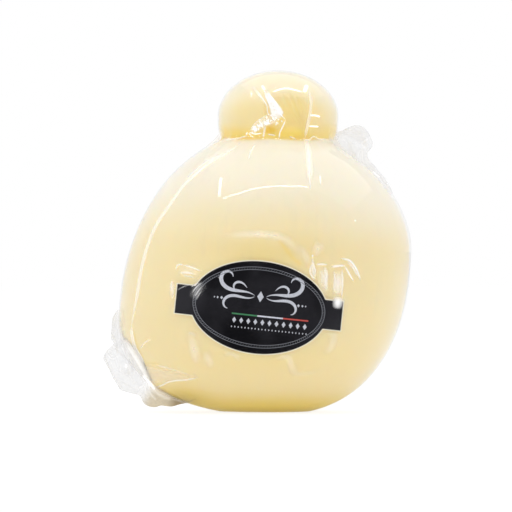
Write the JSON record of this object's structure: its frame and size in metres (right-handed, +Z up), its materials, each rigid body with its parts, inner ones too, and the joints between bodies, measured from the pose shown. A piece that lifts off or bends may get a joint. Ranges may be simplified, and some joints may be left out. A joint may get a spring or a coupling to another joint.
{
  "type": "film-wrapped scamorza",
  "caption": "Pear-shaped stretched-curd cheese with a knotted head, shrunk into clear film with crumpled corner flaps, and an oval paper label on its front.",
  "frame": {"origin": "middle of the flat spot that the ball rests on", "axes": "+Z up through the knotted head, the label on the front towards -Y, +X to the right of somebody who faces the label"},
  "size_m": [0.1259, 0.1065, 0.1398],
  "materials": {
    "curd": "smooth, moist pale ivory curd under clear film, deeper yellow in its folds",
    "film": "clear glossy shrink film, drawn tight, with fine creases and crumpled corners",
    "label_paper": "near-black coated paper with a silver line border and a three-colour stripe"
  },
  "bodies": {
    "root": {"scamorza": "curd", "label": "label_paper"}
  },
  "joints": []
}
